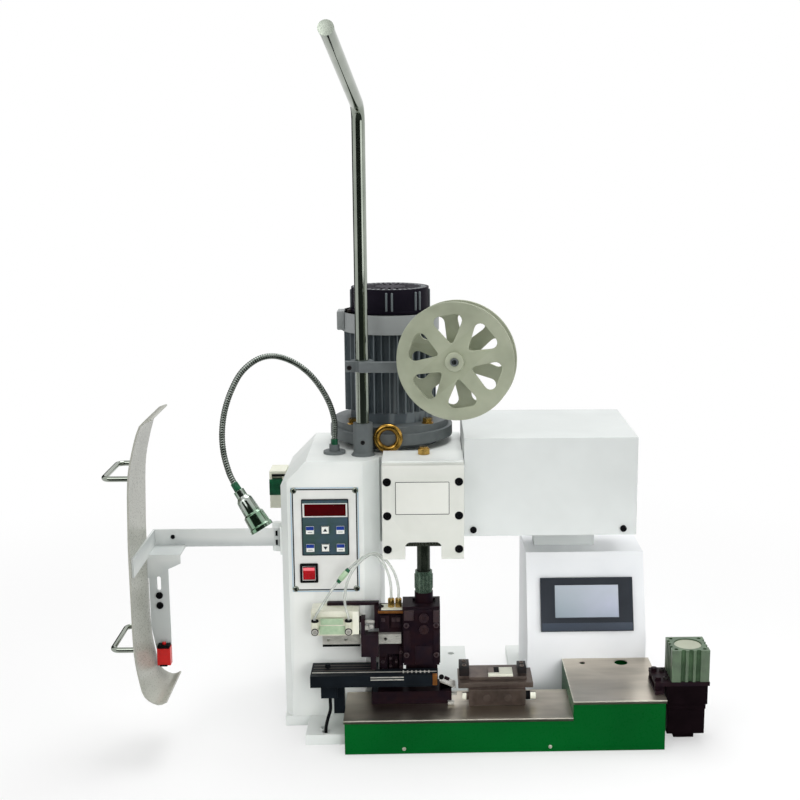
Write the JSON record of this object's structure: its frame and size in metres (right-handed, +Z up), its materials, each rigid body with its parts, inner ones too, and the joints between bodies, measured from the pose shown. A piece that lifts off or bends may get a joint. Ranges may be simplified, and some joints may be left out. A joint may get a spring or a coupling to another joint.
{
  "type": "terminal_crimping_machine",
  "caption": "Bench press that crimps terminals onto wire, with swing guard, reel wheel, lamp, clamp carriage and operator screen",
  "frame": {"origin": "centre of the four base bolts, on the bench", "axes": "+X to the operator's right, +Y to the rear, +Z up along the tall pole"},
  "size_m": [0.8839, 0.5173, 1.0408],
  "materials": {
    "white_paint": "gloss",
    "console_white": "gloss",
    "case_green": "gloss",
    "cover_steel": "satin",
    "tool_black": "satin",
    "ground_steel": "satin",
    "dark_steel": "satin",
    "cast_grey": "satin",
    "motor_grey": "satin",
    "cowl_black": "matte",
    "brass_gold": "polished",
    "chrome": "polished",
    "wheel_alloy": "satin",
    "clear_tube": "gloss",
    "panel_film": "gloss",
    "screen_grey": "matte",
    "cylinder_alloy": "satin",
    "board_green": "matte",
    "bronze": "satin",
    "shield_film": "gloss",
    "rocker_red": "gloss",
    "switch_red": "gloss",
    "key_white": "matte",
    "key_blue": "matte"
  },
  "bodies": {
    "machine": {"base_plate": "white_paint", "body_shell": "white_paint", "rear_covers": "white_paint", "head_block": "white_paint", "head_cover": "white_paint", "cover_screws": "tool_black", "brass_fittings": "brass_gold", "eyebolt": "brass_gold", "bolster_block": "dark_steel", "applicator_base": "dark_steel", "applicator_frame": "tool_black", "anvil": "ground_steel", "feed_cylinder": "cylinder_alloy", "linear_rails": "ground_steel", "air_tubes": "clear_tube", "terminal_track": "tool_black", "front_case": "case_green", "top_covers": "cover_steel", "control_box": "white_paint", "console_shell": "console_white", "screen_unit": "screen_grey", "drive_bracket": "dark_steel", "drive_cylinder": "cylinder_alloy", "servo_motor": "tool_black", "motor_body": "motor_grey", "fan_cowl": "cowl_black", "motor_flange": "cast_grey", "flange_bolts": "brass_gold", "post_sockets": "chrome", "guide_pole": "chrome", "panel_plate": "panel_film", "connector_box": "white_paint", "guard_hinge": "ground_steel", "crank_bearings": "bronze", "circuit_boards": "board_green"},
    "crank": {"crankshaft": "ground_steel", "worm_wheel": "bronze"},
    "ram": {"ram_slide": "ground_steel", "ram_adapter": "ground_steel", "applicator_ram": "tool_black"},
    "rotor": {"motor_rotor": "ground_steel"},
    "reel": {"reel_arm": "wheel_alloy"},
    "wheel": {"guide_wheel": "wheel_alloy"},
    "lamp": {"lamp_neck": "chrome", "lamp_head": "chrome"},
    "rocker": {"power_rocker": "rocker_red"},
    "guard": {"guard_arm": "white_paint", "guard_shield": "shield_film", "guard_handles": "chrome", "safety_switch": "switch_red"},
    "feeder": {"feed_carriage": "dark_steel"},
    "carriage": {"clamp_carriage": "dark_steel"},
    "jaw": {"clamp_jaw": "dark_steel"},
    "screw": {"lead_screw": "ground_steel"},
    "button_up": {"key_up": "key_white"},
    "button_down": {"key_down": "key_white"},
    "button_1": {"key_1": "key_blue"},
    "button_2": {"key_2": "key_blue"},
    "button_3": {"key_3": "key_blue"},
    "button_4": {"key_4": "key_blue"}
  },
  "joints": [
    {"name": "crank_turn", "type": "hinge", "parent": "machine", "child": "crank", "pos_m": [0.0535, 0.017, 0.355], "axis": [0, 1, 0], "range_deg": [0, 180]},
    {"name": "ram_stroke", "type": "slide", "parent": "machine", "child": "ram", "axis": [0, 0, 1], "range_m": [-0.03, 0]},
    {"name": "rotor_spin", "type": "hinge", "parent": "machine", "child": "rotor", "pos_m": [0.003, 0.052, 0.355], "axis": [0, 0, 1], "range_deg": [-10, 5410]},
    {"name": "reel_swing", "type": "hinge", "parent": "machine", "child": "reel", "pos_m": [-0.038, -0.056, 0.562], "axis": [0, 0, 1], "range_deg": [-45, 15]},
    {"name": "wheel_turn", "type": "hinge", "parent": "reel", "child": "wheel", "pos_m": [0.104, -0.135, 0.582], "axis": [-0.1994, -0.9799, 0], "continuous": true},
    {"name": "lamp_swing", "type": "hinge", "parent": "machine", "child": "lamp", "pos_m": [-0.083, -0.044, 0.43], "axis": [0, 0, 1], "range_deg": [-35, 20]},
    {"name": "guard_swing", "type": "hinge", "parent": "machine", "child": "guard", "pos_m": [-0.1734, -0.059, 0.295], "axis": [0, 0, 1], "range_deg": [0, 90]},
    {"name": "rocker_tip", "type": "hinge", "parent": "machine", "child": "rocker", "pos_m": [-0.121, -0.1005, 0.2495], "axis": [1, 0, 0], "range_deg": [-18, 0]},
    {"name": "feed_stroke", "type": "slide", "parent": "machine", "child": "feeder", "axis": [1, 0, 0], "range_m": [0, 0.02]},
    {"name": "carriage_travel", "type": "slide", "parent": "machine", "child": "carriage", "axis": [1, 0, 0], "range_m": [0, 0.04]},
    {"name": "screw_turn", "type": "hinge", "parent": "machine", "child": "screw", "pos_m": [0.19, -0.13, 0.036], "axis": [1, 0, 0], "range_deg": [-1, 2881]},
    {"name": "jaw_lift", "type": "slide", "parent": "carriage", "child": "jaw", "axis": [0, 0, 1], "range_m": [0, 0.004]},
    {"name": "press_up", "type": "slide", "parent": "machine", "child": "button_up", "axis": [0, 1, 0], "range_m": [0, 0.0008], "stiffness_N_per_m": 300},
    {"name": "press_down", "type": "slide", "parent": "machine", "child": "button_down", "axis": [0, 1, 0], "range_m": [0, 0.0008], "stiffness_N_per_m": 300},
    {"name": "press_1", "type": "slide", "parent": "machine", "child": "button_1", "axis": [0, 1, 0], "range_m": [0, 0.0008], "stiffness_N_per_m": 300},
    {"name": "press_2", "type": "slide", "parent": "machine", "child": "button_2", "axis": [0, 1, 0], "range_m": [0, 0.0008], "stiffness_N_per_m": 300},
    {"name": "press_3", "type": "slide", "parent": "machine", "child": "button_3", "axis": [0, 1, 0], "range_m": [0, 0.0008], "stiffness_N_per_m": 300},
    {"name": "press_4", "type": "slide", "parent": "machine", "child": "button_4", "axis": [0, 1, 0], "range_m": [0, 0.0008], "stiffness_N_per_m": 300}
  ],
  "couplings": [
    {"joint": "ram_stroke", "follows": "crank_turn", "m_per_rad": -0.009545},
    {"joint": "rotor_spin", "follows": "crank_turn", "ratio": 30},
    {"joint": "screw_turn", "follows": "carriage_travel", "rad_per_m": 1256.6}
  ]
}
